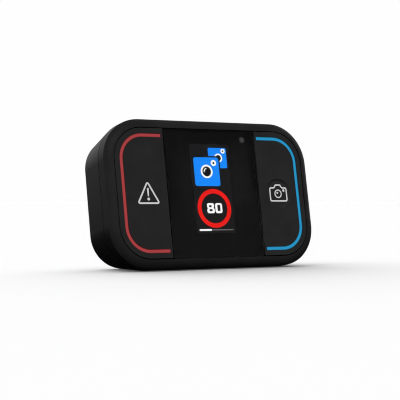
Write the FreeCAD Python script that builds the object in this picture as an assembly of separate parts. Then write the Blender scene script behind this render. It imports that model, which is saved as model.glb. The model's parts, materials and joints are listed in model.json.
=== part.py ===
import FreeCAD, Part
import math
import os

# A pocket-sized road alert unit: a colour display between two large push buttons.
#
# Everything is drawn upright in the unit's own frame: x to the right, y backwards from the front
# panel, z up, with the origin at the middle of the front panel. stand() then leans each piece back
# so that the tapered underside lies flat on z = 0. Lengths are in mm, angles in degrees.

Vec = FreeCAD.Vector

# Outer body
LEAN = 10.19                 # lean of the front panel, and the taper of the rear shell
BODY_W = 57.5
BODY_H = 35.86
BODY_CORNER = 10.0
RIM_WIDTH = 2.15             # sloping rim between the front panels and the widest outline
RIM_DEPTH = 1.25
RIM_CROWN = 0.28             # how far the sloping rim swells out of its chord
SEAM_Y = 3.94                # joint line between bezel and rear shell
SEAM_GAP = 0.26
REAR_Y = 15.6
REAR_EDGE_R = 0.8
WALL = 1.4
PANEL_EDGE_R = 0.12

# Rear recess for a round magnet mount
RECESS_R = 12.0
RECESS_DEPTH = 1.2
PLATE_R = 11.0
PLATE_THICK = 0.55
PLATE_POCKET = 0.6           # depth of the plate's pocket below the recess
PLATE_GAP = 0.12
POCKET_FLOOR = 1.0
POCKET_Y = REAR_Y - RECESS_DEPTH - PLATE_POCKET
RECESS_INSIDE_Y = POCKET_Y - POCKET_FLOOR

# Front panels
LENS_W = 25.7
LENS_T = 1.0
MASK_T = 0.1
ADHESIVE_T = 0.2
PANEL_GAP = 0.2              # between a button and whatever is beside it
ACTIVE_W = 10.8              # picture area of the display
ACTIVE_H = 21.7
ACTIVE_Z = 1.2
WINDOW_EDGE = 0.1            # the clear window is this much larger than the picture
SENSOR_X = 9.85
SENSOR_Z = 13.5
SENSOR_R = 0.8

# Buttons
CAP_T = 1.6
FLANGE_Y = 1.45
FLANGE_BACK = 2.2
FLANGE_INSET = 1.65
CAP_RIB = 1.0
BUTTON_X = 18.5
STEM_R = 2.0
STEM_BACK = 2.9
PAD_R = 1.5
PAD_BACK = 3.5
STRIPE_INSET = 3.65
STRIPE_W = 0.9
STRIPE_SINK = 0.15           # depth of the light guide below the button's face
STRIPE_T = 0.9
STRIPE_END_X = 13.65
POST_R = 0.4
POST_BACK = 2.1
POST_X = 17.0
SYMBOL_T = 0.25
DISH_X = 18.85
DISH_R = 3.65
DISH_FLOOR_R = 3.2
DISH_DEPTH = 0.3

# Switches under the buttons
SWITCH_W = 4.6
SWITCH_FRONT = 4.0
SWITCH_LID = 0.35
PLUNGER_R = 0.9
PLUNGER_FLANGE_R = 1.4
PLUNGER_BACK = 4.5
DOME_R = 1.6
DOME_RISE = 0.36
DOME_T = 0.06

# Layers from front to back
FRAME_FRONT = LENS_T + MASK_T + ADHESIVE_T   # front face of the bezel's window frame
FRAME_BACK = 2.9
CARRIER_FRONT = 3.2
CARRIER_BACK = 3.9
BOARD_FRONT = 5.2
BOARD_BACK = 6.0
BATTERY_FRONT = 8.1
BATTERY_T = 4.2

# Display module
CELL_W = 12.9
CELL_H = 27.2
CELL_TOP = 13.3
LEDGE_H = 3.0                # bare strip of the rear glass below the front glass
LCD_WINDOW = (13.9, 28.3, -0.4)   # width, height and centre z of the opening in the bezel
FLEX_W = 10.0
FLEX_T = 0.12

# Fasteners
BOSS_X = 22.43
BOSS_Z = 11.51
SCREW_R = 0.8
HEAD_R = 1.4
HEAD_T = 0.9
COUNTERBORE_R = 1.6
COUNTERBORE_DEPTH = 1.3
BOARD_SCREWS = [(-12.5, -13.9), (12.5, -13.9), (0.0, 13.9)]
STAKES = [(-10.5, -9.0), (10.5, -9.0), (-10.5, 9.0), (10.5, 9.0)]

# Charging inlet in the right-hand wall
USB_W = 8.94
USB_H = 3.16
USB_Y = 7.6
USB_BACK_X = 20.2
USB_MOUTH_X = 27.5
PORT_GAP = 0.18

# Speaker behind the left-hand button
SPEAKER_W = 11.0
SPEAKER_H = 15.0
SPEAKER_X = -19.5
SPEAKER_FRONT = 10.6
SPEAKER_T = 2.7
SLOT_PITCH = 1.9
SLOT_COUNT = 5


def taper(y):
    """Inset of the rear shell's outline at depth y."""
    return (y - SEAM_Y) * math.tan(math.radians(LEAN))


def rounded_wire(half_w, half_h, radius, y, cx=0.0, cz=0.0):
    """Rounded rectangle in the plane at depth y."""
    ix, iz = half_w - radius, half_h - radius
    diagonal = radius * math.sqrt(0.5)
    edges = []
    corners = [(ix, iz, 90), (ix, -iz, 0), (-ix, -iz, -90), (-ix, iz, -180)]
    ends = []
    for px, pz, start in corners:
        a0 = math.radians(start)
        a1 = math.radians(start - 90)
        am = math.radians(start - 45)
        arc = []
        for angle in (a0, am, a1):
            arc.append(Vec(cx + px + radius * math.cos(angle), y, cz + pz + radius * math.sin(angle)))
        ends.append(arc)
    for i, arc in enumerate(ends):
        following = ends[(i + 1) % 4]
        edges.append(Part.Arc(*arc).toShape())
        edges.append(Part.LineSegment(arc[2], following[0]).toShape())
    return Part.Wire(edges)


def prism(wire, depth):
    """Solid swept straight back from a closed wire."""
    return Part.Face(wire).extrude(Vec(0, depth, 0))


def rounded_box(width, height, radius, y0, y1, cx=0.0, cz=0.0):
    return prism(rounded_wire(width / 2, height / 2, radius, y0, cx, cz), y1 - y0)


def body_wire(inset, y):
    return rounded_wire(BODY_W / 2 - inset, BODY_H / 2 - inset, BODY_CORNER - inset, y)


def body_slab(inset, y0, y1):
    """Slab between two depths, inset all round from the widest outline."""
    return prism(body_wire(inset, y0), y1 - y0)


def tapered_slab(inset, y0, y1):
    """Slab whose sides follow the rear shell's taper, inset from its outside."""
    return Part.makeLoft([body_wire(inset + taper(y0), y0), body_wire(inset + taper(y1), y1)], True, True)


def box(x0, x1, y0, y1, z0, z1):
    return Part.makeBox(x1 - x0, y1 - y0, z1 - z0, Vec(x0, y0, z0))


def centred_box(cx, cz, width, height, y0, y1):
    return box(cx - width / 2, cx + width / 2, y0, y1, cz - height / 2, cz + height / 2)


def disc(cx, cz, radius, y0, y1):
    return Part.makeCylinder(radius, y1 - y0, Vec(cx, y0, cz), Vec(0, 1, 0))


def mirrored(shape):
    return shape.mirror(Vec(0, 0, 0), Vec(1, 0, 0))


def joined(shapes):
    """One solid from shapes that touch or overlap."""
    return shapes[0].multiFuse(shapes[1:]).removeSplitter()


def rounded_polygon(points, radii, y):
    """Closed wire through corner points (x, z), each corner rounded to its own radius."""
    count = len(points)
    arcs = []
    for i in range(count):
        here = Vec(points[i][0], y, points[i][1])
        before = Vec(points[i - 1][0], y, points[i - 1][1]) - here
        after = Vec(points[(i + 1) % count][0], y, points[(i + 1) % count][1]) - here
        half = before.getAngle(after) / 2
        before.normalize()
        after.normalize()
        reach = radii[i] / math.tan(half)
        bisector = (before + after).normalize()
        middle = here + bisector * (radii[i] / math.sin(half) - radii[i])
        arcs.append((here + before * reach, middle, here + after * reach))
    edges = []
    for i, arc in enumerate(arcs):
        edges.append(Part.Arc(*arc).toShape())
        edges.append(Part.LineSegment(arc[2], arcs[(i + 1) % count][0]).toShape())
    return Part.Wire(edges)


def outline_band(points, radii, width, y0, y1):
    """Line of the given width just inside a rounded polygon."""
    outer = Part.Face(rounded_polygon(points, radii, y0))
    inner = outer.makeOffset2D(-width)
    return outer.cut(inner).extrude(Vec(0, y1 - y0, 0))


def tube(points, radius, reach=0.45):
    """Round lead along straight runs joined by tangent arcs as large as the runs allow."""
    knots = [Vec(*p) for p in points]
    edges = []
    start = knots[0]
    for i in range(1, len(knots) - 1):
        to_last = knots[i - 1] - knots[i]
        to_next = knots[i + 1] - knots[i]
        cut = reach * min(to_last.Length, to_next.Length)
        half = to_last.getAngle(to_next) / 2
        to_last.normalize()
        to_next.normalize()
        bend = cut * math.tan(half)
        middle = knots[i] + (to_last + to_next).normalize() * (bend / math.sin(half) - bend)
        entry = knots[i] + to_last * cut
        leave = knots[i] + to_next * cut
        edges.append(Part.LineSegment(start, entry).toShape())
        edges.append(Part.Arc(entry, middle, leave).toShape())
        start = leave
    edges.append(Part.LineSegment(start, knots[-1]).toShape())
    section = Part.Wire(Part.makeCircle(radius, knots[0], knots[1] - knots[0]))
    return Part.Wire(edges).makePipeShell([section], True, True)


# Housing --------------------------------------------------------------------------------------

def rim_ring():
    """Sloping rim, outer wall and the lip that holds the buttons in, swept round the outline."""
    top = BODY_H / 2
    lip_back = FLANGE_Y - 0.05
    end_y = SEAM_Y - SEAM_GAP / 2
    chord = math.hypot(RIM_WIDTH, RIM_DEPTH)
    crest = Vec(0, RIM_DEPTH / 2 - RIM_CROWN * RIM_WIDTH / chord,
                top - RIM_WIDTH / 2 + RIM_CROWN * RIM_DEPTH / chord)
    inner_edge = Vec(0, 0, top - RIM_WIDTH)
    outer_edge = Vec(0, RIM_DEPTH, top)
    corners = [outer_edge, Vec(0, end_y, top), Vec(0, end_y, top - WALL),
               Vec(0, lip_back, top - WALL), Vec(0, lip_back, top - RIM_WIDTH), inner_edge]
    edges = [Part.Arc(inner_edge, crest, outer_edge).toShape()]
    for a, b in zip(corners, corners[1:]):
        edges.append(Part.LineSegment(a, b).toShape())
    profile = Part.Wire(edges)
    straight = Part.Face(profile)
    half_flat_x = BODY_W / 2 - BODY_CORNER
    half_flat_z = BODY_H / 2 - BODY_CORNER
    top_bar = straight.extrude(Vec(2 * half_flat_x, 0, 0))
    top_bar.translate(Vec(-half_flat_x, 0, 0))
    bars = [top_bar, top_bar.copy()]
    bars[1].rotate(Vec(0, 0, 0), Vec(0, 1, 0), 180)
    side = straight.extrude(Vec(2 * half_flat_z, 0, 0))
    side.translate(Vec(-half_flat_z, 0, BODY_W / 2 - top))
    for turn in (90, -90):
        bar = side.copy()
        bar.rotate(Vec(0, 0, 0), Vec(0, 1, 0), turn)
        bars.append(bar)
    corner_face = straight.copy()
    corner_face.translate(Vec(half_flat_x, 0, 0))
    corner = corner_face.revolve(Vec(half_flat_x, 0, half_flat_z), Vec(0, 1, 0), 90)
    across = corner.mirror(Vec(0, 0, 0), Vec(0, 0, 1))
    return joined(bars + [corner, mirrored(corner), across, mirrored(across)])


def boss_points():
    return [(sx * BOSS_X, sz * BOSS_Z) for sx in (-1, 1) for sz in (-1, 1)]


def front_bezel():
    """Front ring with its window frame, heat stakes and screw bosses."""
    window_w, window_h, window_z = LCD_WINDOW
    frame = body_slab(WALL, FRAME_FRONT, FRAME_BACK)
    half = LENS_W / 2 + PANEL_GAP / 4
    frame = frame.common(box(-half, half, 0, FRAME_BACK, -BODY_H, BODY_H))
    frame = frame.cut(centred_box(0, window_z, window_w, window_h, 0, FRAME_BACK))
    flex_notch = centred_box(0, window_z - window_h / 2 - 0.3, FLEX_W + 0.8, 1.6, 0, FRAME_BACK)
    frame = frame.cut(flex_notch).cut(disc(SENSOR_X, SENSOR_Z, SENSOR_R + 0.1, 0, FRAME_BACK))
    pieces = [rim_ring(), frame]
    for x, z in STAKES:
        pieces.append(disc(x, z, 0.5, FRAME_BACK, CARRIER_BACK))
        pieces.append(disc(x, z, 0.9, CARRIER_BACK, CARRIER_BACK + 0.3))
    for x, z in boss_points():
        pieces.append(disc(x, z, 1.7, FRAME_BACK, 7.0))
        rib = box(0, 3.7, FRAME_BACK, SEAM_Y - SEAM_GAP / 2, -0.5, 0.5)
        rib.rotate(Vec(0, 0, 0), Vec(0, 1, 0), -math.degrees(math.atan2(math.copysign(1, z),
                                                                         math.copysign(1, x))))
        rib.translate(Vec(x, 0, z))
        pieces.append(rib)
    bezel = joined(pieces)
    for x, z in boss_points():
        bezel = bezel.cut(disc(x, z, SCREW_R + 0.02, FRAME_BACK + 0.6, 7.0))
    return bezel


def edges_at(shape, y):
    """Edges that lie wholly in the plane at depth y."""
    return [e for e in shape.Edges if abs(e.BoundBox.YMin - y) < 0.01 and abs(e.BoundBox.YMax - y) < 0.01]


def rear_housing():
    """Tapered shell with the mount recess, screw tubes, sound slots and the inlet's port."""
    start = SEAM_Y + SEAM_GAP / 2
    shell = tapered_slab(0, start, REAR_Y)
    shell = shell.makeFillet(REAR_EDGE_R, edges_at(shell, REAR_Y))
    shell = shell.cut(tapered_slab(WALL, start, REAR_Y - WALL))
    tongue = body_slab(WALL + 0.06, 3.3, start + 0.6).cut(body_slab(WALL + 0.62, 3.3, start + 0.6))
    for x, z in boss_points():
        tongue = tongue.cut(disc(x, z, 4.2, 3.3, start))
    tubes = [disc(x, z, 2.0, 7.1, REAR_Y - WALL + 0.1) for x, z in boss_points()]
    recess_back = disc(0, 0, RECESS_R + 1.2, RECESS_INSIDE_Y, REAR_Y - WALL + 0.1)
    shell = joined([shell, tongue, recess_back] + tubes)
    shell = shell.cut(disc(0, 0, RECESS_R, REAR_Y - RECESS_DEPTH, REAR_Y))
    shell = shell.cut(disc(0, 0, PLATE_R + PLATE_GAP, POCKET_Y, REAR_Y))
    for x, z in boss_points():
        shell = shell.cut(disc(x, z, SCREW_R + 0.15, 7.1, REAR_Y))
        shell = shell.cut(disc(x, z, COUNTERBORE_R, REAR_Y - COUNTERBORE_DEPTH, REAR_Y))
    for i in range(SLOT_COUNT):
        x = SPEAKER_X + (i - (SLOT_COUNT - 1) / 2) * SLOT_PITCH
        shell = shell.cut(rounded_box(0.9, 8.0, 0.44, REAR_Y - WALL - 0.1, REAR_Y, x, 0))
    port = usb_outline(USB_W / 2 + PORT_GAP, USB_H / 2 + PORT_GAP, USB_BACK_X + 3)
    return shell.cut(Part.Face(port).extrude(Vec(12, 0, 0)))


def mount_plate():
    """Steel disc glued into the bottom of the recess."""
    plate = disc(0, 0, PLATE_R, POCKET_Y, POCKET_Y + PLATE_THICK)
    return plate.makeFillet(0.12, edges_at(plate, POCKET_Y + PLATE_THICK))


def housing_screws():
    """Pan-head screws from the back into the bezel's bosses."""
    seat = REAR_Y - COUNTERBORE_DEPTH
    screws = []
    for x, z in boss_points():
        head = disc(x, z, HEAD_R, seat, seat + HEAD_T)
        head = head.makeFillet(0.3, edges_at(head, seat + HEAD_T))
        screw = head.fuse(disc(x, z, SCREW_R, FRAME_BACK + 1.0, seat)).removeSplitter()
        for width, height in ((1.5, 0.36), (0.36, 1.5)):
            screw = screw.cut(centred_box(x, z, width, height, seat + HEAD_T - 0.5, seat + HEAD_T))
        screws.append(screw)
    return Part.makeCompound(screws)


# Lens and display -------------------------------------------------------------------------------

def display_lens():
    half_h = BODY_H / 2 - RIM_WIDTH - 0.06
    lens = rounded_box(LENS_W, 2 * half_h, 0.25, 0, LENS_T)
    return lens.makeFillet(PANEL_EDGE_R, edges_at(lens, 0))


def lens_mask():
    half_h = BODY_H / 2 - RIM_WIDTH - 0.1
    mask = rounded_box(LENS_W - 0.1, 2 * half_h, 0.2, LENS_T, LENS_T + MASK_T)
    window = rounded_box(ACTIVE_W + 2 * WINDOW_EDGE, ACTIVE_H + 2 * WINDOW_EDGE, 0.2,
                         LENS_T, LENS_T + MASK_T, 0, ACTIVE_Z)
    return mask.cut(window).cut(disc(SENSOR_X, SENSOR_Z, SENSOR_R, LENS_T, LENS_T + MASK_T))


def lens_adhesive():
    window_w, window_h, window_z = LCD_WINDOW
    front, back = LENS_T + MASK_T, FRAME_FRONT
    sheet = rounded_box(LENS_W - 0.8, BODY_H - 2 * RIM_WIDTH - 1.0, 0.5, front, back)
    sheet = sheet.cut(centred_box(0, window_z, window_w + 0.3, window_h + 0.3, front, back))
    return sheet.cut(disc(SENSOR_X, SENSOR_Z, SENSOR_R + 0.2, front, back))


def display_polariser():
    return rounded_box(CELL_W - 0.5, CELL_H - LEDGE_H - 0.5, 0.15, 1.15, 1.25,
                       0, CELL_TOP - (CELL_H - LEDGE_H) / 2)


def display_cell():
    """Two bonded glasses; the rear one is longer and carries the driver."""
    front = centred_box(0, CELL_TOP - (CELL_H - LEDGE_H) / 2, CELL_W, CELL_H - LEDGE_H, 1.25, 1.55)
    rear = centred_box(0, CELL_TOP - CELL_H / 2, CELL_W, CELL_H, 1.55, 1.95)
    return joined([front, rear])


def display_driver():
    return centred_box(0, CELL_TOP - CELL_H + LEDGE_H - 1.0, 9.0, 0.9, 1.3, 1.55)


def display_backlight():
    """White tray with its light guide."""
    tray = rounded_box(13.5, 27.9, 0.3, 1.95, 2.75, 0, LCD_WINDOW[2])
    return tray.makeFillet(0.1, edges_at(tray, 2.75))


def display_foam():
    pad = rounded_box(12.5, 25.0, 0.5, 2.75, CARRIER_FRONT, 0, LCD_WINDOW[2])
    return pad.cut(rounded_box(9.5, 22.0, 0.5, 2.75, CARRIER_FRONT, 0, LCD_WINDOW[2]))


def display_flex():
    """Ribbon that folds round the bottom of the display to the board."""
    front_y = 1.55 - FLEX_T / 2 - 0.02
    back_y = 4.6
    bottom = -15.2
    bond_top = CELL_TOP - CELL_H + 0.9
    bend = 0.7
    tip = -13.62
    half = FLEX_T / 2
    outer = [(front_y - half, bond_top), (front_y - half, bottom - half),
             (back_y + half, bottom - half), (back_y + half, tip)]
    inner = [(back_y - half, tip), (back_y - half, bottom + half),
             (front_y + half, bottom + half), (front_y + half, bond_top)]
    knots = outer + inner
    radii = [0, bend + half, bend + half, 0, 0, bend - half, bend - half, 0]
    edges = []
    arcs = []
    for i, (y, z) in enumerate(knots):
        here = Vec(-FLEX_W / 2, y, z)
        before = Vec(-FLEX_W / 2, *knots[i - 1]) - here
        after = Vec(-FLEX_W / 2, *knots[(i + 1) % len(knots)]) - here
        before.normalize()
        after.normalize()
        r = radii[i]
        centre_way = (before + after).normalize() if r else Vec(0, 0, 0)
        middle = here + centre_way * (r * math.sqrt(2) - r)
        arcs.append((here + before * r, middle, here + after * r, r))
    for i, (entry, middle, leave, r) in enumerate(arcs):
        if r:
            edges.append(Part.Arc(entry, middle, leave).toShape())
        edges.append(Part.LineSegment(leave, arcs[(i + 1) % len(arcs)][0]).toShape())
    return Part.Face(Part.Wire(edges)).extrude(Vec(FLEX_W, 0, 0))


def display_connector():
    return centred_box(0, -12.7, FLEX_W + 0.6, 1.8, 4.2, BOARD_FRONT)


def sensor_light_pipe():
    """Clear rod from the hole in the mask to the sensor on the board."""
    rod = disc(SENSOR_X, SENSOR_Z, SENSOR_R - 0.08, LENS_T + MASK_T + 0.02, 4.45)
    return rod.fuse(disc(SENSOR_X, SENSOR_Z, SENSOR_R + 0.35, CARRIER_BACK + 0.02, 4.45)).removeSplitter()


def light_sensor():
    return centred_box(SENSOR_X, SENSOR_Z, 2.0, 1.25, 4.5, BOARD_FRONT)


# Carrier and buttons ----------------------------------------------------------------------------

def light_points(side):
    """Where the stripe's three light posts stand."""
    edge_x = BODY_W / 2 - STRIPE_INSET - STRIPE_W / 2
    edge_z = BODY_H / 2 - STRIPE_INSET - STRIPE_W / 2
    return [(side * edge_x, 0), (side * POST_X, edge_z), (side * POST_X, -edge_z)]


def inner_frame():
    """Carrier plate: backs the display, guides the button stems, stands the board off."""
    plate = body_slab(2.25, CARRIER_FRONT, CARRIER_BACK)
    for x, z in boss_points():
        plate = plate.cut(disc(x, z, 1.9, CARRIER_FRONT, CARRIER_BACK))
        plate = plate.cut(centred_box(x + math.copysign(3, x), z + math.copysign(3, z), 6, 6,
                                      CARRIER_FRONT, CARRIER_BACK))
    for x, z in STAKES:
        plate = plate.cut(disc(x, z, 0.55, CARRIER_FRONT, CARRIER_BACK))
    for side in (-1, 1):
        plate = plate.cut(disc(side * BUTTON_X, 0, STEM_R + 0.2, CARRIER_FRONT, CARRIER_BACK))
        for x, z in light_points(side):
            plate = plate.cut(centred_box(x, z, 1.8, 1.2, CARRIER_FRONT, CARRIER_BACK))
    plate = plate.cut(centred_box(0, -15.1, FLEX_W + 0.8, 1.4, CARRIER_FRONT, CARRIER_BACK))
    plate = plate.cut(disc(SENSOR_X, SENSOR_Z, SENSOR_R + 0.05, CARRIER_FRONT, CARRIER_BACK))
    posts = [disc(x, z, 1.4, CARRIER_BACK, BOARD_FRONT) for x, z in BOARD_SCREWS]
    plate = joined([plate] + posts)
    for x, z in BOARD_SCREWS:
        plate = plate.cut(disc(x, z, 0.62, CARRIER_FRONT, BOARD_FRONT))
    return plate


def beside_lens(shape):
    """The stretch of a front slab that lies right of the lens."""
    start = LENS_W / 2 + PANEL_GAP
    return shape.common(box(start, BODY_W, -1, 20, -BODY_H, BODY_H))


def stripe(front=STRIPE_SINK):
    """Right-hand light guide: a C-shaped bar with three posts towards the board."""
    inner = STRIPE_INSET + STRIPE_W
    bar = body_slab(STRIPE_INSET, front, STRIPE_T).cut(body_slab(inner, front, STRIPE_T))
    bar = bar.common(box(STRIPE_END_X, BODY_W, front, STRIPE_T, -BODY_H, BODY_H))
    return joined([bar] + [disc(x, z, POST_R, STRIPE_T, POST_BACK) for x, z in light_points(1)])


def cap_blank():
    """Right-hand button cap before its inlays are cut."""
    face = beside_lens(body_slab(RIM_WIDTH + PANEL_GAP, 0, CAP_T))
    face = face.makeFillet(PANEL_EDGE_R, edges_at(face, 0))
    skirt = beside_lens(body_slab(FLANGE_INSET, FLANGE_Y, FLANGE_BACK))
    hollow_inset = RIM_WIDTH + PANEL_GAP + CAP_RIB
    hollow = body_slab(hollow_inset, CAP_T, FLANGE_BACK)
    start = LENS_W / 2 + PANEL_GAP + CAP_RIB
    hollow = hollow.common(box(start, BODY_W, 0, 20, -BODY_H, BODY_H))
    posts = [disc(x, z, POST_R + 0.5, CAP_T, FLANGE_BACK) for x, z in light_points(1)]
    stem = disc(BUTTON_X, 0, STEM_R, CAP_T - 0.2, STEM_BACK)
    return joined([face, skirt.cut(hollow), stem] + posts)


def dish():
    """Shallow round well with sloping sides, in the right-hand cap round its mark."""
    return Part.makeCone(DISH_R, DISH_FLOOR_R, DISH_DEPTH, Vec(DISH_X, 0, 0), Vec(0, 1, 0))


def warning_symbol():
    """Warning triangle with its exclamation mark, in the left-hand cap."""
    cx = -18.35
    outline = [(cx - 3.17, -2.7), (cx, 2.99), (cx + 3.17, -2.7)]
    triangle = outline_band(outline, [0.5] * 3, 0.4, 0, SYMBOL_T)
    bar = [(cx - 0.15, -0.86), (cx - 0.26, 1.1), (cx + 0.26, 1.1), (cx + 0.15, -0.86)]
    stroke = prism(rounded_polygon(bar, [0.13, 0.2, 0.2, 0.13], 0), SYMBOL_T)
    return Part.makeCompound([triangle, stroke, disc(cx, -1.52, 0.34, 0, SYMBOL_T)])


def camera_symbol():
    """Camera mark in the dished part of the right-hand cap."""
    cx = 18.92
    depth = SYMBOL_T + DISH_DEPTH
    outline = [(cx - 2.65, -2.09), (cx - 2.65, 1.55), (cx - 1.25, 1.55), (cx - 0.78, 2.27),
               (cx + 0.78, 2.27), (cx + 1.25, 1.55), (cx + 2.65, 1.55), (cx + 2.65, -2.09)]
    radii = [0.6, 0.6, 0.3, 0.36, 0.36, 0.3, 0.6, 0.6]
    body = outline_band(outline, radii, 0.35, 0, depth)
    ring_x, ring_z = 18.84, -0.11
    ring = disc(ring_x, ring_z, 1.09, 0, depth).cut(disc(ring_x, ring_z, 0.80, 0, depth))
    glint = disc(ring_x - 0.2, ring_z + 0.22, 0.26, 0, depth)
    flash = disc(20.55, 0.73, 0.33, 0, depth)
    hollow = dish()
    return Part.makeCompound([piece.cut(hollow) for piece in (body, ring, glint, flash)])


def button_left():
    return mirrored(cap_blank().cut(stripe(0))).cut(warning_symbol())


def button_right():
    return cap_blank().cut(stripe(0)).cut(dish()).cut(camera_symbol())


def button_pad(side):
    """Soft tip on the end of the stem."""
    return disc(side * BUTTON_X, 0, PAD_R, STEM_BACK, PAD_BACK)


def switch_plunger(side):
    pin = disc(side * BUTTON_X, 0, PLUNGER_R, PAD_BACK, PLUNGER_BACK)
    return pin.fuse(disc(side * BUTTON_X, 0, PLUNGER_FLANGE_R, PLUNGER_BACK - 0.1, PLUNGER_BACK)).removeSplitter()


def switch_case(side):
    case = centred_box(side * BUTTON_X, 0, SWITCH_W, SWITCH_W, SWITCH_FRONT, BOARD_FRONT)
    lid_back = SWITCH_FRONT + SWITCH_LID
    case = case.cut(disc(side * BUTTON_X, 0, PLUNGER_R + 0.1, SWITCH_FRONT, lid_back))
    return case.cut(disc(side * BUTTON_X, 0, DOME_R + 0.15, lid_back, BOARD_FRONT - 0.25))


def switch_dome(side):
    """Snap dome: a thin spherical cap that flattens under the plunger."""
    base_y = BOARD_FRONT - 0.26
    ball_r = (DOME_R ** 2 + DOME_RISE ** 2) / (2 * DOME_RISE)
    centre = Vec(side * BUTTON_X, base_y - DOME_RISE + ball_r, 0)
    shell = Part.makeSphere(ball_r, centre).cut(Part.makeSphere(ball_r - DOME_T, centre))
    return shell.common(disc(side * BUTTON_X, 0, DOME_R, base_y - 2, base_y))


def stripe_lights(side):
    """Small lamps on the board below the stripe's posts."""
    return Part.makeCompound([centred_box(x, z, 1.6, 0.8, 4.6, BOARD_FRONT) for x, z in light_points(side)])


# Board and what it carries ----------------------------------------------------------------------

def main_board():
    board = body_slab(2.4, BOARD_FRONT, BOARD_BACK)
    for x, z in boss_points():
        board = board.cut(disc(x, z, 2.1, BOARD_FRONT, BOARD_BACK))
        board = board.cut(centred_box(x + math.copysign(3, x), z + math.copysign(3, z), 6, 6,
                                      BOARD_FRONT, BOARD_BACK))
    for x, z in BOARD_SCREWS:
        board = board.cut(disc(x, z, 0.8, BOARD_FRONT, BOARD_BACK))
    return board


def board_screws():
    screws = []
    for x, z in BOARD_SCREWS:
        head = disc(x, z, 1.25, BOARD_BACK, BOARD_BACK + 0.6)
        head = head.makeFillet(0.2, edges_at(head, BOARD_BACK + 0.6))
        screw = head.fuse(disc(x, z, 0.6, CARRIER_FRONT + 0.2, BOARD_BACK)).removeSplitter()
        screws.append(screw.cut(centred_box(x, z, 1.4, 0.3, BOARD_BACK + 0.35, BOARD_BACK + 0.6)))
    return Part.makeCompound(screws)


def chip(cx, cz, width, height, thick):
    body = centred_box(cx, cz, width, height, BOARD_BACK + 0.05, BOARD_BACK + thick)
    body = body.makeChamfer(0.12, edges_at(body, BOARD_BACK + thick))
    return body.cut(disc(cx - width / 2 + 0.6, cz + height / 2 - 0.6, 0.2,
                         BOARD_BACK + thick - 0.05, BOARD_BACK + thick))


def radio_board():
    return centred_box(-6.0, -8.2, 10.0, 9.0, BOARD_BACK + 0.02, BOARD_BACK + 0.5)


def radio_can():
    front = BOARD_BACK + 0.5
    can = rounded_box(7.0, 7.6, 0.5, front, front + 1.1, -7.0, -8.2)
    can = can.makeFillet(0.2, edges_at(can, front + 1.1))
    return can.cut(rounded_box(6.7, 7.3, 0.4, front, front + 0.95, -7.0, -8.2))


def inductor():
    coil = rounded_box(3.6, 3.6, 0.8, BOARD_BACK + 0.02, BOARD_BACK + 1.5, 14.5, -4.4)
    return coil.makeFillet(0.25, edges_at(coil, BOARD_BACK + 1.5))


def small_parts():
    """Chip resistors and capacitors in two tidy rows."""
    parts = []
    for row, z in enumerate((2.6, 0.6)):
        for column in range(7):
            x = -7.2 + column * 2.4 + 0.4 * row
            parts.append(centred_box(x, z, 1.2, 0.6, BOARD_BACK + 0.01, BOARD_BACK + 0.5))
    return Part.makeCompound(parts)


def usb_outline(half_z, half_y, x):
    """Flat-sided oval in the plane at x, centred on the inlet."""
    radius = half_y
    flat = half_z - radius
    corners = [Vec(x, USB_Y - half_y, -flat), Vec(x, USB_Y - half_y, flat),
               Vec(x, USB_Y + half_y, flat), Vec(x, USB_Y + half_y, -flat)]
    right = Part.Arc(corners[1], Vec(x, USB_Y, half_z), corners[2]).toShape()
    left = Part.Arc(corners[3], Vec(x, USB_Y, -half_z), corners[0]).toShape()
    return Part.Wire([Part.LineSegment(corners[0], corners[1]).toShape(), right,
                      Part.LineSegment(corners[2], corners[3]).toShape(), left])


def usb_shell():
    wall = 0.28
    outer = Part.Face(usb_outline(USB_W / 2, USB_H / 2, USB_BACK_X))
    inner = Part.Face(usb_outline(USB_W / 2 - wall, USB_H / 2 - wall, USB_BACK_X))
    return outer.cut(inner).extrude(Vec(USB_MOUTH_X - USB_BACK_X, 0, 0))


def usb_tongue():
    """Contact tongue and the block that closes the inlet's back."""
    wall = 0.29
    plug = Part.Face(usb_outline(USB_W / 2 - wall, USB_H / 2 - wall, USB_BACK_X + 0.1))
    block = plug.extrude(Vec(1.4, 0, 0))
    tongue = box(USB_BACK_X + 1.4, USB_MOUTH_X - 0.6, USB_Y - 0.35, USB_Y + 0.35, -3.3, 3.3)
    return joined([block, tongue])


# Battery and speaker ----------------------------------------------------------------------------

def battery():
    pouch = rounded_box(24.0, 24.6, 1.2, BATTERY_FRONT, BATTERY_FRONT + BATTERY_T, 0, -1.1)
    ends = edges_at(pouch, BATTERY_FRONT) + edges_at(pouch, BATTERY_FRONT + BATTERY_T)
    return pouch.makeFillet(0.9, ends)


def battery_board():
    """Protection board on top of the pouch."""
    return centred_box(0, 12.3, 18.0, 2.0, BATTERY_FRONT + 1.4, BATTERY_FRONT + 2.2)


def battery_pad():
    return rounded_box(18.0, 16.0, 1.0, BATTERY_FRONT + BATTERY_T, RECESS_INSIDE_Y, 0, -1.1)


def battery_connector():
    return box(-19.0, -15.0, BOARD_BACK, 7.8, 10.9, 13.9)


def battery_lead(z):
    return tube([(-9.0, 9.9, z), (-11.6, 9.9, z), (-12.4, 6.9, z), (-15.0, 6.9, z)], 0.35)


def speaker_frame():
    back = SPEAKER_FRONT + SPEAKER_T
    frame = rounded_box(SPEAKER_W, SPEAKER_H, 1.5, SPEAKER_FRONT, back, SPEAKER_X, 0)
    frame = frame.makeFillet(0.3, edges_at(frame, SPEAKER_FRONT))
    return frame.cut(rounded_box(SPEAKER_W - 2, SPEAKER_H - 2, 1.0, SPEAKER_FRONT + 0.5, back, SPEAKER_X, 0))


def speaker_magnet():
    return rounded_box(6.0, 9.0, 1.0, SPEAKER_FRONT + 0.5, SPEAKER_FRONT + 1.6, SPEAKER_X, 0)


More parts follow.
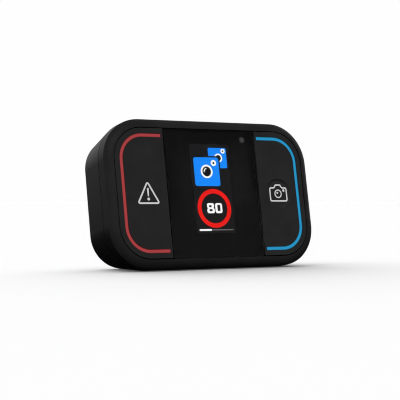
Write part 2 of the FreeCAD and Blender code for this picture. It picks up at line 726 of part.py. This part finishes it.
def speaker_cone():
    """Thin diaphragm with a raised middle."""
    y = SPEAKER_FRONT + SPEAKER_T - 0.5
    sheet = rounded_box(SPEAKER_W - 2.1, SPEAKER_H - 2.1, 0.95, y, y + 0.1, SPEAKER_X, 0)
    dome = rounded_box(5.0, 8.0, 1.6, y + 0.05, y + 0.35, SPEAKER_X, 0)
    dome = dome.makeFillet(0.2, edges_at(dome, y + 0.35))
    return joined([sheet, dome])


def speaker_gasket():
    front = SPEAKER_FRONT + SPEAKER_T
    back = REAR_Y - WALL
    ring = rounded_box(SPEAKER_W - 0.2, SPEAKER_H - 0.2, 1.4, front, back, SPEAKER_X, 0)
    return ring.cut(rounded_box(SPEAKER_W - 2.2, SPEAKER_H - 2.2, 0.9, front, back, SPEAKER_X, 0))


def speaker_leads():
    leads = []
    for x in (SPEAKER_X + 1.0, SPEAKER_X + 2.4):
        route = [(x, SPEAKER_FRONT, -5.6), (x, 9.2, -5.6), (x, 7.6, -8.9), (x, BOARD_BACK, -8.9)]
        leads.append(tube(route, 0.3))
    return Part.makeCompound(leads)


# Assembly ---------------------------------------------------------------------------------------

def build_nodes():
    """Every piece by its node name, in the upright frame."""
    nodes = {
        "front_bezel": front_bezel(),
        "rear_housing": rear_housing(),
        "mount_plate": mount_plate(),
        "housing_screws": housing_screws(),
        "display_lens": display_lens(),
        "lens_mask": lens_mask(),
        "lens_adhesive": lens_adhesive(),
        "display_polariser": display_polariser(),
        "display_cell": display_cell(),
        "display_driver": display_driver(),
        "display_backlight": display_backlight(),
        "display_foam": display_foam(),
        "display_flex": display_flex(),
        "display_connector": display_connector(),
        "sensor_light_pipe": sensor_light_pipe(),
        "light_sensor": light_sensor(),
        "inner_frame": inner_frame(),
        "button_left": button_left(),
        "button_right": button_right(),
        "stripe_left": mirrored(stripe()),
        "stripe_right": stripe(),
        "warning_symbol": warning_symbol(),
        "camera_symbol": camera_symbol(),
        "main_board": main_board(),
        "board_screws": board_screws(),
        "processor": chip(4.6, 7.6, 5.0, 5.0, 0.9),
        "charger_chip": chip(14.5, -9.2, 3.0, 3.0, 0.8),
        "motion_sensor": chip(-4.6, 7.6, 2.5, 3.0, 0.9),
        "radio_board": radio_board(),
        "radio_can": radio_can(),
        "inductor": inductor(),
        "small_parts": small_parts(),
        "usb_shell": usb_shell(),
        "usb_tongue": usb_tongue(),
        "battery": battery(),
        "battery_board": battery_board(),
        "battery_pad": battery_pad(),
        "battery_connector": battery_connector(),
        "battery_lead_plus": battery_lead(12.9),
        "battery_lead_minus": battery_lead(11.9),
        "speaker_frame": speaker_frame(),
        "speaker_magnet": speaker_magnet(),
        "speaker_cone": speaker_cone(),
        "speaker_gasket": speaker_gasket(),
        "speaker_leads": speaker_leads(),
    }
    for name, side in (("left", -1), ("right", 1)):
        nodes["button_pad_" + name] = button_pad(side)
        nodes["switch_plunger_" + name] = switch_plunger(side)
        nodes["switch_case_" + name] = switch_case(side)
        nodes["switch_dome_" + name] = switch_dome(side)
        nodes["stripe_lights_" + name] = stripe_lights(side)
    return nodes


def stand(nodes):
    """Lean every piece back onto its base, centred front to back over the origin."""
    for shape in nodes.values():
        shape.rotate(Vec(0, 0, 0), Vec(1, 0, 0), -LEAN)
    lean = math.radians(LEAN)
    base = SEAM_Y * math.sin(lean) + BODY_H / 2 * math.cos(lean)
    whole = Part.makeCompound([nodes["front_bezel"], nodes["rear_housing"]]).optimalBoundingBox()
    for shape in nodes.values():
        shape.translate(Vec(0, -(whole.YMin + whole.YMax) / 2, base))


def main():
    os.makedirs("parts", exist_ok=True)
    nodes = build_nodes()
    stand(nodes)
    for name, shape in nodes.items():
        for solid in shape.Solids:
            if not solid.isValid():
                print("invalid solid in", name)
        shape.exportStep("parts/" + name + ".step")
        print("%-22s solids %d volume %.2f" % (name, len(shape.Solids), shape.Volume))


main()
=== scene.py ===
import json
import math

import bmesh
import bpy
from mathutils import Matrix, Vector


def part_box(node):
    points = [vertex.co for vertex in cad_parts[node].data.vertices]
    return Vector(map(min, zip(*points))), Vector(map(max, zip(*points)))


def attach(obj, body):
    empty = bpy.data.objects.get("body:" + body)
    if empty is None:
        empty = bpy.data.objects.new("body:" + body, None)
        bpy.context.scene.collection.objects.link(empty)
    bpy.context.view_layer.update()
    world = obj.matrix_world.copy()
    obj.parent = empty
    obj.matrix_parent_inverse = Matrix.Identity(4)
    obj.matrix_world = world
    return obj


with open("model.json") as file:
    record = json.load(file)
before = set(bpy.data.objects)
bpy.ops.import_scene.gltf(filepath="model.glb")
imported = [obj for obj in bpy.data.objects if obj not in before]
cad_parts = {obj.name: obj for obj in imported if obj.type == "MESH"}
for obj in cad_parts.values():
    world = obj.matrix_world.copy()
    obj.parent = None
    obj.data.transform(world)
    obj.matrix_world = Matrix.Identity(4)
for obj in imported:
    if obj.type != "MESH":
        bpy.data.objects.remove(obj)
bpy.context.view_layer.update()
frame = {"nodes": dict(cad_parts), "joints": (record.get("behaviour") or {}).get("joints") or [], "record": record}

MM = 0.001

# The unit's own upright frame: origin at the middle of the front panel, y backwards into the body.
lens_low, lens_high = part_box("display_lens")
press_axis = Vector(frame["joints"][0]["axis"]).normalized()
LEAN = math.atan2(-press_axis.z, press_axis.y)
LENS_THICK = 1.0 * MM
PANEL_CENTRE = (lens_low + lens_high) / 2 - press_axis * (LENS_THICK / 2)
UPRIGHT = Matrix.Translation(PANEL_CENTRE) @ Matrix.Rotation(-LEAN, 4, "X")

# Camera -----------------------------------------------------------------------------------------

VIEW_YAW = math.radians(31.35)
VIEW_DISTANCE = 293.35 * MM
VIEW_RIGHT = 3.55 * MM        # the panel's middle lies this far right of the view's centre line
VIEW_ABOVE = 1.71 * MM
LENS_MM = 109.32
SENSOR_MM = 36.0
NEAREST = 10 * MM


def make_camera():
    right = Vector((math.cos(VIEW_YAW), -math.sin(VIEW_YAW), 0))
    back = Vector((-math.sin(VIEW_YAW), -math.cos(VIEW_YAW), 0))
    up = Vector((0, 0, 1))
    data = bpy.data.cameras.new("camera")
    data.lens = LENS_MM
    data.sensor_width = SENSOR_MM
    data.clip_start = NEAREST
    camera = bpy.data.objects.new("camera", data)
    place = PANEL_CENTRE - right * VIEW_RIGHT - up * VIEW_ABOVE + back * VIEW_DISTANCE
    turn = Matrix((right, up, back)).transposed().to_4x4()
    camera.matrix_world = Matrix.Translation(place) @ turn
    bpy.context.scene.collection.objects.link(camera)
    bpy.context.scene.camera = camera


# Stage and light --------------------------------------------------------------------------------

WHITE = 0.99
FLOOR_GREY = (0.8, 0.8, 0.8)
FLOOR_GLOW = 0.06
FLOOR_RADIUS = 60.0           # metres, so that its edge is out of sight
FILTER_WIDTH = 1.1

# The room's glow, as strengths, and the parts of the direction's Z and Y over which each comes in.
FRONT_ROOM = 0.095
BACK_ROOM = 0.50
LOW_ROOM = 0.004
HIGH_ROOM = 0.05              # share of the glow that is left overhead
HORIZON_Z = (-0.11, 0.25)
OVERHEAD_Z = (0.35, 0.75)
FRONT_TO_BACK_Y = (-0.5, 0.8)

# Distant lamps: the direction they stand in, their power, and how wide they are in degrees.
KEY = ((-0.16, -0.70, 0.74), 0.92, 40)
REAR_FILL = ((0.45, 0.75, 0.45), 1.3, 60)
FLOOR_LIGHT = ((-0.08, 0.78, 0.75), 4.75, 130)


def studio_world():
    """White to the eye, and for the light a soft room: a pale band above the horizon, brighter behind."""
    world = bpy.data.worlds.new("studio")
    bpy.context.scene.world = world
    world.use_nodes = True
    nodes, links = world.node_tree.nodes, world.node_tree.links
    nodes.clear()

    def spread(source, span, to_low, to_high):
        node = nodes.new("ShaderNodeMapRange")
        node.interpolation_type = "SMOOTHSTEP"
        node.inputs["From Min"].default_value, node.inputs["From Max"].default_value = span
        node.inputs["To Min"].default_value = to_low
        node.inputs["To Max"].default_value = to_high
        links.new(source, node.inputs["Value"])
        return node.outputs["Result"]

    coords = nodes.new("ShaderNodeTexCoord")
    split = nodes.new("ShaderNodeSeparateXYZ")
    links.new(coords.outputs["Generated"], split.inputs[0])
    above = spread(split.outputs["Z"], HORIZON_Z, 0.0, 1.0)
    below_top = spread(split.outputs["Z"], OVERHEAD_Z, 1.0, HIGH_ROOM)
    behind = spread(split.outputs["Y"], FRONT_TO_BACK_Y, FRONT_ROOM, BACK_ROOM)
    band = nodes.new("ShaderNodeMath")
    band.operation = "MULTIPLY"
    links.new(above, band.inputs[0])
    links.new(below_top, band.inputs[1])
    glow = nodes.new("ShaderNodeMath")
    glow.operation = "MULTIPLY_ADD"
    glow.inputs[2].default_value = LOW_ROOM
    links.new(band.outputs[0], glow.inputs[0])
    links.new(behind, glow.inputs[1])
    room = nodes.new("ShaderNodeBackground")
    links.new(glow.outputs[0], room.inputs["Strength"])
    seen = nodes.new("ShaderNodeBackground")
    seen.inputs["Color"].default_value = (1, 1, 1, 1)
    seen.inputs["Strength"].default_value = WHITE
    path = nodes.new("ShaderNodeLightPath")
    mix = nodes.new("ShaderNodeMixShader")
    out = nodes.new("ShaderNodeOutputWorld")
    links.new(path.outputs["Is Camera Ray"], mix.inputs["Fac"])
    links.new(room.outputs[0], mix.inputs[1])
    links.new(seen.outputs[0], mix.inputs[2])
    links.new(mix.outputs[0], out.inputs["Surface"])


def sun(name, towards, power, angle, lit_things):
    """Distant softbox in the direction given, which lights the given objects alone."""
    data = bpy.data.lights.new(name, "SUN")
    data.energy = power
    data.angle = math.radians(angle)
    lamp = bpy.data.objects.new(name, data)
    lamp.rotation_euler = Vector(towards).to_track_quat("Z", "Y").to_euler()
    bpy.context.scene.collection.objects.link(lamp)
    lamp.visible_glossy = False
    lit = bpy.data.collections.new(name + "_lit")
    for thing in lit_things:
        lit.objects.link(thing)
    lamp.light_linking.receiver_collection = lit


def make_floor():
    mesh = bpy.data.meshes.new("floor")
    build = bmesh.new()
    bmesh.ops.create_circle(build, cap_ends=True, segments=96, radius=FLOOR_RADIUS)
    build.to_mesh(mesh)
    build.free()
    floor = bpy.data.objects.new("floor", mesh)
    bpy.context.scene.collection.objects.link(floor)
    pale = Shader("floor_pale", FLOOR_GREY, 1.0)
    pale.main.inputs["Specular IOR Level"].default_value = 0.0
    pale.main.inputs["Emission Color"].default_value = (1, 1, 1, 1)
    pale.main.inputs["Emission Strength"].default_value = FLOOR_GLOW
    mesh.materials.append(pale.material)
    floor.visible_glossy = False
    floor.visible_diffuse = False
    floor.visible_transmission = False
    return floor


def make_stage():
    bpy.context.scene.view_settings.view_transform = "Standard"
    bpy.context.scene.cycles.filter_width = FILTER_WIDTH
    studio_world()
    unit = list(frame["nodes"].values())
    sun("key", *KEY, unit)
    sun("rear_fill", *REAR_FILL, unit)
    floor = make_floor()
    sun("overhead", *FLOOR_LIGHT, [floor])


# Materials --------------------------------------------------------------------------------------

SATIN = 0.35                  # share of a plated surface's light that it mirrors

# The light guides' centre line: a rounded rectangle round the middle of the front panel.
GUIDE_X = 24.65 * MM          # half its width
GUIDE_Z = 13.83 * MM          # half its height
GUIDE_R = 5.90 * MM
GUIDE_HALF = 0.45 * MM        # half the guide's own width
GUIDE_GLOW = 0.75
GUIDE_CORE = 0.62             # share of that half width over which the core's full colour reaches
SYMBOL_GLOW = 0.5

# A display's black, from its darkest to its palest patch.
GLASS_DARK = (0.0042, 0.0041, 0.0049)
GLASS_PALE = (0.0054, 0.0052, 0.0060)

# Noise, in features per metre.
GLOSS_PATCHES = 90.0
GLASS_PATCHES = 150.0
TINT_PATCHES = 160.0
SMALL_TINT = 300.0
SMALL_GLOSS = 400.0


class Shader:
    """A node-based material: one Principled shader with helpers for what feeds it."""

    def __init__(self, name, colour, roughness, metallic=0.0, ior=1.5):
        self.material = bpy.data.materials.new(name)
        self.material.use_nodes = True
        self.tree = self.material.node_tree
        self.main = self.tree.nodes["Principled BSDF"]
        self.main.inputs["Base Color"].default_value = (*colour, 1)
        self.main.inputs["Roughness"].default_value = roughness
        self.main.inputs["Metallic"].default_value = metallic
        self.main.inputs["IOR"].default_value = ior
        self.colour = colour
        self.roughness = roughness

    def add(self, kind, **settings):
        node = self.tree.nodes.new(kind)
        for key, value in settings.items():
            setattr(node, key, value)
        return node

    def link(self, source, target):
        self.tree.links.new(source, target)

    def coords(self):
        return self.add("ShaderNodeTexCoord").outputs["Object"]

    def noise(self, scale, detail=3.0, rough=0.5, stretch=None):
        """Noise whose scale counts features per metre."""
        node = self.add("ShaderNodeTexNoise")
        node.inputs["Scale"].default_value = scale
        node.inputs["Detail"].default_value = detail
        node.inputs["Roughness"].default_value = rough
        source = self.coords()
        if stretch:
            mapping = self.add("ShaderNodeMapping")
            mapping.inputs["Scale"].default_value = stretch
            self.link(source, mapping.inputs["Vector"])
            source = mapping.outputs["Vector"]
        self.link(source, node.inputs["Vector"])
        return node.outputs["Fac"]

    def vector(self, operation, value, other=None):
        node = self.add("ShaderNodeVectorMath", operation=operation)
        self.link(value, node.inputs[0])
        if other:
            node.inputs[1].default_value = other
        return node.outputs["Vector"]

    def maths(self, operation, value, other=0.0):
        node = self.add("ShaderNodeMath", operation=operation)
        self.link(value, node.inputs[0])
        node.inputs[1].default_value = other
        return node.outputs[0]

    def ramp(self, value, stops):
        node = self.add("ShaderNodeValToRGB")
        ramp = node.color_ramp
        while len(ramp.elements) < len(stops):
            ramp.elements.new(0.5)
        for element, (position, colour) in zip(ramp.elements, stops):
            element.position = position
            element.color = (*colour, 1)
        self.link(value, node.inputs["Fac"])
        return node.outputs["Color"]

    def range(self, value, low, high):
        node = self.add("ShaderNodeMapRange")
        node.inputs["To Min"].default_value = low
        node.inputs["To Max"].default_value = high
        self.link(value, node.inputs["Value"])
        return node.outputs["Result"]

    def vary_colour(self, value, amount):
        """Base colour made darker and lighter by a share of itself."""
        dark = tuple(c * (1 - amount) for c in self.colour)
        light = tuple(c * (1 + amount) for c in self.colour)
        self.link(self.ramp(value, [(0.35, dark), (0.65, light)]), self.main.inputs["Base Color"])

    def vary_roughness(self, value, amount):
        low, high = self.roughness - amount, self.roughness + amount
        self.link(self.range(value, low, high), self.main.inputs["Roughness"])

    def bump(self, value, height, strength=1.0):
        """Relief of the given height in metres."""
        node = self.add("ShaderNodeBump")
        node.inputs["Distance"].default_value = height
        node.inputs["Strength"].default_value = strength
        self.link(value, node.inputs["Height"])
        self.link(node.outputs["Normal"], self.main.inputs["Normal"])


def moulded_plastic(name, colour, roughness, grain=0.22 * MM, relief=0.006 * MM):
    """Spark-textured moulding: a fine even grain and a slight unevenness of gloss."""
    shader = Shader(name, colour, roughness)
    shader.bump(shader.noise(1.0 / grain, 2.0), relief)
    shader.vary_roughness(shader.noise(GLOSS_PATCHES), 0.04)
    shader.vary_colour(shader.noise(TINT_PATCHES, 4.0), 0.10)
    return shader.material


def simple(name, colour, roughness, metallic=0.0):
    """Even surface with a slight unevenness of colour and gloss."""
    shader = Shader(name, colour, roughness, metallic)
    shader.vary_roughness(shader.noise(SMALL_GLOSS), 0.05)
    shader.vary_colour(shader.noise(SMALL_TINT), 0.08)
    return shader.material


def clear_acrylic(name):
    shader = Shader(name, (1.0, 1.0, 1.0), 0.02, ior=1.42)
    shader.main.inputs["Transmission Weight"].default_value = 1.0
    return shader.material


def lit_guide(name, core, edge):
    """Light guide: a pale lit core that deepens towards its edges."""
    shader = Shader(name, core, 0.30)
    place = shader.add("ShaderNodeMapping")
    place.inputs["Rotation"].default_value = (LEAN, 0, 0)
    place.inputs["Location"].default_value = -(Matrix.Rotation(LEAN, 3, "X") @ PANEL_CENTRE)
    shader.link(shader.coords(), place.inputs["Vector"])
    across = shader.vector("MULTIPLY", shader.vector("ABSOLUTE", place.outputs["Vector"]), (1, 0, 1))
    past = shader.vector("SUBTRACT", across, (GUIDE_X - GUIDE_R, 0, GUIDE_Z - GUIDE_R))
    outward = shader.vector("MAXIMUM", past, (0, 0, 0))
    reach = shader.add("ShaderNodeVectorMath", operation="LENGTH")
    shader.link(outward, reach.inputs[0])
    off_line = shader.maths("ABSOLUTE", shader.maths("SUBTRACT", reach.outputs["Value"], GUIDE_R))
    share = shader.maths("DIVIDE", off_line, GUIDE_HALF)
    tint = shader.ramp(share, [(GUIDE_CORE, core), (1.0, edge)])
    shader.link(tint, shader.main.inputs["Base Color"])
    shader.link(tint, shader.main.inputs["Emission Color"])
    shader.main.inputs["Emission Strength"].default_value = GUIDE_GLOW
    return shader.material


def lit_print(name, colour, glow):
    """Pale mark with a faint light behind it, a little uneven over its length."""
    shader = Shader(name, colour, 0.5)
    dim = tuple(0.93 * c for c in colour)
    tint = shader.ramp(shader.noise(SMALL_TINT), [(0.3, dim), (0.7, colour)])
    shader.link(tint, shader.main.inputs["Base Color"])
    shader.link(tint, shader.main.inputs["Emission Color"])
    shader.main.inputs["Emission Strength"].default_value = glow
    return shader.material


def backlit_black(name):
    """A picture's black on a backlit display, a little paler than the ink round it."""
    shader = Shader(name, (0.006, 0.006, 0.007), 0.15)
    glow = shader.ramp(shader.noise(GLASS_PATCHES, 2.0), [(0.3, GLASS_DARK), (0.7, GLASS_PALE)])
    shader.link(glow, shader.main.inputs["Emission Color"])
    shader.main.inputs["Emission Strength"].default_value = 1.0
    return shader.material


def brushed(name, colour, roughness):
    """Satin plated steel: part mirror, part matt, with fine drawn lines."""
    shader = Shader(name, colour, roughness, SATIN)
    lines = shader.noise(SMALL_GLOSS, 3.0, 0.6, (0.6, 12.0, 12.0))
    shader.vary_colour(lines, 0.16)
    shader.vary_roughness(lines, 0.08)
    shader.bump(lines, 0.002 * MM)
    return shader.material


def paint_nodes():
    """Give each CAD node the material of its slot, drawn up here or from the record's colour."""
    shell = moulded_plastic("shell_black", (0.053, 0.053, 0.0535), 0.34)
    cap = moulded_plastic("button_black", (0.066, 0.066, 0.0665), 0.55, 0.16 * MM, 0.004 * MM)
    by_slot = {
        "shell_black": shell,
        "button_black": cap,
        "lens_black": clear_acrylic("lens_clear"),
        "mask_ink": simple("mask_ink", (0.0045, 0.0045, 0.0045), 0.6),
        "stripe_red": lit_guide("stripe_red", (0.37, 0.046, 0.050), (0.07, 0.006, 0.005)),
        "stripe_blue": lit_guide("stripe_blue", (0.020, 0.285, 0.54), (0.002, 0.05, 0.09)),
        "symbol_white": lit_print("symbol_white", (0.82, 0.82, 0.82), SYMBOL_GLOW),
        "display_glass": backlit_black("display_glass"),
        "clear_plastic": simple("clear_plastic", (0.28, 0.28, 0.29), 0.25),
        "steel": brushed("steel", (0.50, 0.51, 0.52), 0.42),
        "screw_steel": brushed("screw_steel", (0.30, 0.30, 0.31), 0.40),
        "inlet_steel": brushed("inlet_steel", (0.55, 0.56, 0.57), 0.38),
    }
    fallback = {}
    for part in frame["record"]["subparts"]:
        slot = part["material_slot"]
        if slot not in by_slot and slot not in fallback:
            given = next(m for m in frame["record"]["materials"] if m["slot"] == slot)
            metal = 1.0 if given["class"] in ("brushed_steel", "aluminium") else 0.0
            fallback[slot] = simple(slot, tuple(given["base_color"][:3]), 0.5, metal)
        piece = frame["nodes"][part["node"]]
        piece.data.materials.clear()
        piece.data.materials.append(by_slot.get(slot) or fallback[slot])


# The display's picture --------------------------------------------------------------------------

PICTURE_DEPTH = 1.137         # how far behind the front panel's plane the picture lies, in mm
LAYER = 0.018                 # each layer of the picture lies this far in front of the last
FILM = 0.010

# Layout of the picture in mm from the middle of the front panel. A box is its left, right, bottom
# and top; a ringed dot is its middle, its radius and its hole's radius.
REAR_TILE = {
    "box": (-0.36, 4.82, 6.30, 11.32), "corner": 0.4,
    "eye": ((2.45, 8.80), 1.13, 0.75), "lamp": ((3.90, 10.55), 0.60, 0.22),
}
FRONT_TILE = {
    "box": (-4.76, 2.36, 1.82, 8.90), "corner": 0.6,
    "eye": ((-1.25, 5.42), 1.67, 1.22), "lamp": ((0.89, 7.53), 0.76, 0.28),
}
TILE_SHADE = (-5.0, 2.75, 1.60, 9.25)
SHADE_CORNER = 0.8
GLINT_R = 0.72
GLINT_WIDTH = 0.24
GLINT_SPAN = (100, 185)       # degrees from the right
RING_MIDDLE = (0.04, -3.64)
RING_R = 4.76
RING_HOLE_R = 3.66
DIGIT_TOP = -2.36
DIGIT_FOOT = -4.84
DIGIT_HOLE_CORNER = 0.16
BAR_DONE = (-4.73, -1.30, -9.13, -8.68)
BAR_LEFT = (-1.25, 4.90, -9.04, -8.76)
BAR_CORNER = 0.1


def circle(cx, cz, radius, steps=72):
    return arc(cx, cz, radius, 0, 360 - 360 / steps, steps - 1)


def arc(cx, cz, radius, start, end, steps=24):
    points = []
    for i in range(steps + 1):
        angle = math.radians(start + (end - start) * i / steps)
        points.append((cx + radius * math.cos(angle), cz + radius * math.sin(angle)))
    return points


def rounded_box(x0, x1, z0, z1, radius, steps=8):
    points = []
    corners = [(x1 - radius, z1 - radius, 0), (x0 + radius, z1 - radius, 90),
               (x0 + radius, z0 + radius, 180), (x1 - radius, z0 + radius, 270)]
    for cx, cz, start in corners:
        points += arc(cx, cz, radius, start, start + 90, steps)
    return points


def bowed_line(cx, cz, radius, width, start, end):
    """Outline of a curved stroke with round ends."""
    half = width / 2
    first = arc(cx, cz, radius, start, start, 1)[0]
    last = arc(cx, cz, radius, end, end, 1)[0]
    return (arc(cx, cz, radius + half, start, end) + arc(*last, half, end, end + 180, 8)
            + arc(cx, cz, radius - half, end, start) + arc(*first, half, start + 180, start + 360, 8))


def flat_piece(name, outlines, layer, material):
    """Thin film in the display's plane, filled between closed outlines given in millimetres."""
    curve = bpy.data.curves.new(name, "CURVE")
    curve.dimensions = "2D"
    curve.fill_mode = "BOTH"
    curve.extrude = FILM / 2
    for points in outlines:
        spline = curve.splines.new("POLY")
        spline.points.add(len(points) - 1)
        for point, (x, z) in zip(spline.points, points):
            point.co = (x, z, 0, 1)
        spline.use_cyclic_u = True
    drawn = bpy.data.objects.new(name + "_outline", curve)
    bpy.context.scene.collection.objects.link(drawn)
    mesh = bpy.data.meshes.new_from_object(drawn.evaluated_get(bpy.context.evaluated_depsgraph_get()))
    bpy.data.objects.remove(drawn)
    depth = (PICTURE_DEPTH - layer * LAYER) * MM
    face_on = Matrix.Translation((0, depth, 0)) @ Matrix.Rotation(math.pi / 2, 4, "X")
    mesh.transform(UPRIGHT @ face_on @ Matrix.Diagonal((MM, MM, MM, 1)))
    mesh.name = name
    mesh.materials.clear()
    mesh.materials.append(material)
    piece = bpy.data.objects.new(name, mesh)
    bpy.context.scene.collection.objects.link(piece)
    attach(piece, "housing")


def picture_light(name, colour):
    shader = Shader(name, (0.004, 0.004, 0.004), 0.4)
    shader.main.inputs["Emission Color"].default_value = (*colour, 1)
    shader.main.inputs["Emission Strength"].default_value = 1.0
    return shader.material


def ringed_dot(ring_name, eye_name, dot, layer, ring_ink, eye_ink):
    middle, radius, hole = dot
    flat_piece(ring_name, [circle(*middle, radius), circle(*middle, hole)], layer, ring_ink)
    flat_piece(eye_name, [circle(*middle, hole)], layer, eye_ink)


def camera_tile(name, tile, layer, inks):
    """Blue tile with a ringed lens and a small ringed lamp, drawn over whatever lies behind it."""
    blue, white, black = inks
    flat_piece(name, [rounded_box(*tile["box"], tile["corner"])], layer, blue)
    ringed_dot(name + "_ring", name + "_eye", tile["eye"], layer + 1, white, black)
    ringed_dot(name + "_lamp", name + "_lamp_eye", tile["lamp"], layer + 1, white, black)


def show_picture():
    blue = picture_light("picture_blue", (0.003, 0.250, 1.0))
    red = picture_light("picture_red", (0.83, 0.006, 0.003))
    white = picture_light("picture_white", (0.98, 0.98, 0.98))
    grey = picture_light("picture_grey", (0.13, 0.12, 0.12))
    black = picture_light("picture_black", (0.002, 0.002, 0.003))
    inks = (blue, white, black)
    camera_tile("tile_rear", REAR_TILE, 0, inks)
    flat_piece("tile_shade", [rounded_box(*TILE_SHADE, SHADE_CORNER)], 2, black)
    camera_tile("tile_front", FRONT_TILE, 3, inks)
    glint = bowed_line(*FRONT_TILE["eye"][0], GLINT_R, GLINT_WIDTH, *GLINT_SPAN)
    flat_piece("tile_glint", [glint], 5, white)
    flat_piece("limit_ring", [circle(*RING_MIDDLE, RING_R), circle(*RING_MIDDLE, RING_HOLE_R)], 0, red)
    draw_digits(white)
    flat_piece("bar_done", [rounded_box(*BAR_DONE, BAR_CORNER)], 1, white)
    flat_piece("bar_left", [rounded_box(*BAR_LEFT, BAR_CORNER)], 0, grey)


def draw_digits(ink):
    """The figures 80: the eight as two stacked bowls, the nought as one tall one."""
    bowl("digit_eight_top", (-2.03, -0.05, -3.62, DIGIT_TOP), (-1.46, -0.76, -3.37, -2.86), 0.44, 0, ink)
    bowl("digit_eight_foot", (-2.06, 0.06, DIGIT_FOOT, -3.56), (-1.42, -0.58, -4.34, -3.83), 0.48, 1, ink)
    bowl("digit_nought", (0.28, 2.24, DIGIT_FOOT, DIGIT_TOP), (0.88, 1.70, -4.29, -2.79), 0.52, 0, ink)


def bowl(name, outside, hole, corner, layer, ink):
    """Rounded box with a hole, both as left, right, bottom and top."""
    flat_piece(name, [rounded_box(*outside, corner), rounded_box(*hole, DIGIT_HOLE_CORNER)], layer, ink)


make_camera()
make_stage()
paint_nodes()
show_picture()
